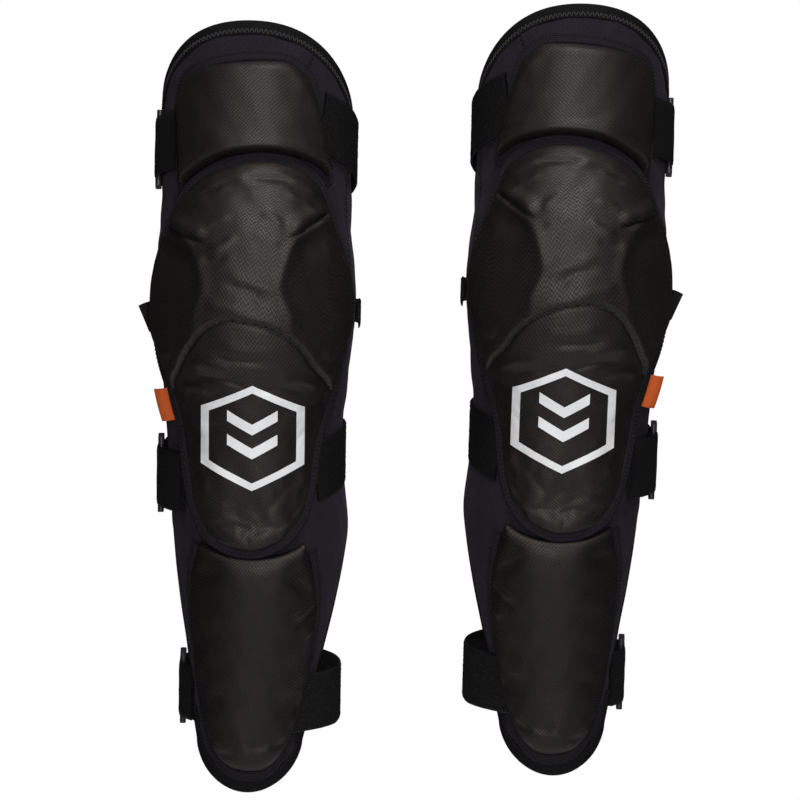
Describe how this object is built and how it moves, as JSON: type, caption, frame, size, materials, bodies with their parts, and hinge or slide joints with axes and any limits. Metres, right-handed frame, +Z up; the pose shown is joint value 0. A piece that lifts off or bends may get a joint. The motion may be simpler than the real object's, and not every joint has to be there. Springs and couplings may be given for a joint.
{
  "type": "knee and shin guards",
  "caption": "Pair of soft, open-backed knee and shin guards with padded fronts, an elastic sleeve for each leg, and hook-and-loop straps through side buckles.",
  "frame": {"origin": "midway between the two knees, at the height of the right knee's bending axis", "axes": "+Z up the legs, -Y the padded fronts, +X from the right leg to the left leg"},
  "size_m": [0.3539, 0.1956, 0.5139],
  "materials": {
    "sleeve_neoprene": "matte",
    "hem_tape": "matte",
    "grip_silicone": "satin",
    "pad_twill": "matte",
    "shin_twill": "matte",
    "pad_foam": "matte",
    "impact_foam": "matte",
    "print_white": "satin",
    "label_orange": "satin",
    "loop_elastic": "matte",
    "webbing": "satin",
    "buckle_plastic": "satin"
  },
  "bodies": {
    "right_thigh": {"right_thigh_sleeve": "sleeve_neoprene", "right_thigh_hem": "hem_tape", "right_thigh_gripper": "grip_silicone", "right_thigh_pad_cover": "pad_twill", "right_thigh_pad_foam": "pad_foam", "right_top_strap": "loop_elastic", "right_top_buckle_tab": "webbing"},
    "right_knee": {"right_knee_sleeve": "sleeve_neoprene", "right_knee_cover": "pad_twill", "right_knee_insert": "impact_foam", "right_knee_strap": "loop_elastic"},
    "right_shin": {"right_shin_sleeve": "sleeve_neoprene", "right_shin_hem": "hem_tape", "right_tibia_cover": "pad_twill", "right_tibia_insert": "impact_foam", "right_emblem": "print_white", "right_side_label": "label_orange", "right_shin_pad_cover": "shin_twill", "right_shin_pad_foam": "pad_foam", "right_calf_strap": "loop_elastic", "right_calf_buckle_tab": "webbing", "right_ankle_strap": "loop_elastic", "right_ankle_buckle_tab": "webbing"},
    "right_top_ring": {"right_top_buckle": "buckle_plastic"},
    "right_top_tail": {"right_top_strap_tail": "webbing"},
    "right_calf_ring": {"right_calf_buckle": "buckle_plastic"},
    "right_calf_tail": {"right_calf_strap_tail": "webbing"},
    "right_ankle_ring": {"right_ankle_buckle": "buckle_plastic"},
    "right_ankle_tail": {"right_ankle_strap_tail": "webbing"},
    "left_thigh": {"left_thigh_sleeve": "sleeve_neoprene", "left_thigh_hem": "hem_tape", "left_thigh_gripper": "grip_silicone", "left_thigh_pad_cover": "pad_twill", "left_thigh_pad_foam": "pad_foam", "left_top_strap": "loop_elastic", "left_top_buckle_tab": "webbing"},
    "left_knee": {"left_knee_sleeve": "sleeve_neoprene", "left_knee_cover": "pad_twill", "left_knee_insert": "impact_foam", "left_knee_strap": "loop_elastic"},
    "left_shin": {"left_shin_sleeve": "sleeve_neoprene", "left_shin_hem": "hem_tape", "left_tibia_cover": "pad_twill", "left_tibia_insert": "impact_foam", "left_emblem": "print_white", "left_side_label": "label_orange", "left_shin_pad_cover": "shin_twill", "left_shin_pad_foam": "pad_foam", "left_calf_strap": "loop_elastic", "left_calf_buckle_tab": "webbing", "left_ankle_strap": "loop_elastic", "left_ankle_buckle_tab": "webbing"},
    "left_top_ring": {"left_top_buckle": "buckle_plastic"},
    "left_top_tail": {"left_top_strap_tail": "webbing"},
    "left_calf_ring": {"left_calf_buckle": "buckle_plastic"},
    "left_calf_tail": {"left_calf_strap_tail": "webbing"},
    "left_ankle_ring": {"left_ankle_buckle": "buckle_plastic"},
    "left_ankle_tail": {"left_ankle_strap_tail": "webbing"}
  },
  "joints": [
    {"name": "guard_spacing", "type": "slide", "parent": "right_thigh", "child": "left_thigh", "axis": [1, 0, 0], "range_m": [0, 0.12]},
    {"name": "right_knee_upper", "type": "hinge", "parent": "right_thigh", "child": "right_knee", "pos_m": [-0.101, 0.01, 0], "axis": [0.9998, 0, -0.0175], "range_deg": [0, 45], "stiffness_Nm_per_rad": 0.6, "springref_deg": -17.19},
    {"name": "right_knee_lower", "type": "hinge", "parent": "right_knee", "child": "right_shin", "pos_m": [-0.101, 0.01, 0], "axis": [0.9998, 0, -0.0175], "range_deg": [0, 45]},
    {"name": "right_top_ring_hinge", "type": "hinge", "parent": "right_thigh", "child": "right_top_ring", "pos_m": [-0.16398, 0.00515, 0.09773], "axis": [0.0173, 0.1392, 0.9901], "range_deg": [0, 25]},
    {"name": "right_top_tail_peel", "type": "hinge", "parent": "right_top_ring", "child": "right_top_tail", "pos_m": [-0.16443, 0.017, 0.09607], "axis": [0.0173, 0.1392, 0.9901], "range_deg": [0, 110]},
    {"name": "right_calf_ring_hinge", "type": "hinge", "parent": "right_shin", "child": "right_calf_ring", "pos_m": [-0.16317, 0.01206, -0.11484], "axis": [0.0172, -0.1736, 0.9847], "range_deg": [0, 25]},
    {"name": "right_calf_tail_peel", "type": "hinge", "parent": "right_calf_ring", "child": "right_calf_tail", "pos_m": [-0.16355, 0.02385, -0.11275], "axis": [0.0172, -0.1736, 0.9847], "range_deg": [0, 110]},
    {"name": "right_ankle_ring_hinge", "type": "hinge", "parent": "right_shin", "child": "right_ankle_ring", "pos_m": [-0.1505, 0.04943, -0.25623], "axis": [0.0172, -0.1736, 0.9847], "range_deg": [0, 25]},
    {"name": "right_ankle_tail_peel", "type": "hinge", "parent": "right_ankle_ring", "child": "right_ankle_tail", "pos_m": [-0.15088, 0.06121, -0.25415], "axis": [0.0172, -0.1736, 0.9847], "range_deg": [0, 110]},
    {"name": "left_knee_upper", "type": "hinge", "parent": "left_thigh", "child": "left_knee", "pos_m": [0.101, 0.01, 0.011], "axis": [0.9996, 0, -0.0297], "range_deg": [0, 45], "stiffness_Nm_per_rad": 0.6, "springref_deg": -17.19},
    {"name": "left_knee_lower", "type": "hinge", "parent": "left_knee", "child": "left_shin", "pos_m": [0.101, 0.01, 0.011], "axis": [0.9996, 0, -0.0297], "range_deg": [0, 45]},
    {"name": "left_top_ring_hinge", "type": "hinge", "parent": "left_thigh", "child": "left_top_ring", "pos_m": [0.16851, 0.00515, 0.10565], "axis": [-0.0294, -0.1392, -0.9898], "range_deg": [0, 25]},
    {"name": "left_top_tail_peel", "type": "hinge", "parent": "left_top_ring", "child": "left_top_tail", "pos_m": [0.16888, 0.017, 0.10398], "axis": [-0.0294, -0.1392, -0.9898], "range_deg": [0, 110]},
    {"name": "left_calf_ring_hinge", "type": "hinge", "parent": "left_shin", "child": "left_calf_ring", "pos_m": [0.15769, 0.01206, -0.10664], "axis": [-0.0292, 0.1736, -0.9844], "range_deg": [0, 25]},
    {"name": "left_calf_tail_peel", "type": "hinge", "parent": "left_calf_ring", "child": "left_calf_tail", "pos_m": [0.15817, 0.02385, -0.10457], "axis": [-0.0292, 0.1736, -0.9844], "range_deg": [0, 110]},
    {"name": "left_ankle_ring_hinge", "type": "hinge", "parent": "left_shin", "child": "left_ankle_ring", "pos_m": [0.13837, 0.04943, -0.24728], "axis": [-0.0292, 0.1736, -0.9844], "range_deg": [0, 25]},
    {"name": "left_ankle_tail_peel", "type": "hinge", "parent": "left_ankle_ring", "child": "left_ankle_tail", "pos_m": [0.13885, 0.06121, -0.24522], "axis": [-0.0292, 0.1736, -0.9844], "range_deg": [0, 110]}
  ],
  "couplings": [
    {"joint": "right_knee_lower", "follows": "right_knee_upper", "ratio": 1},
    {"joint": "left_knee_lower", "follows": "left_knee_upper", "ratio": 1}
  ]
}
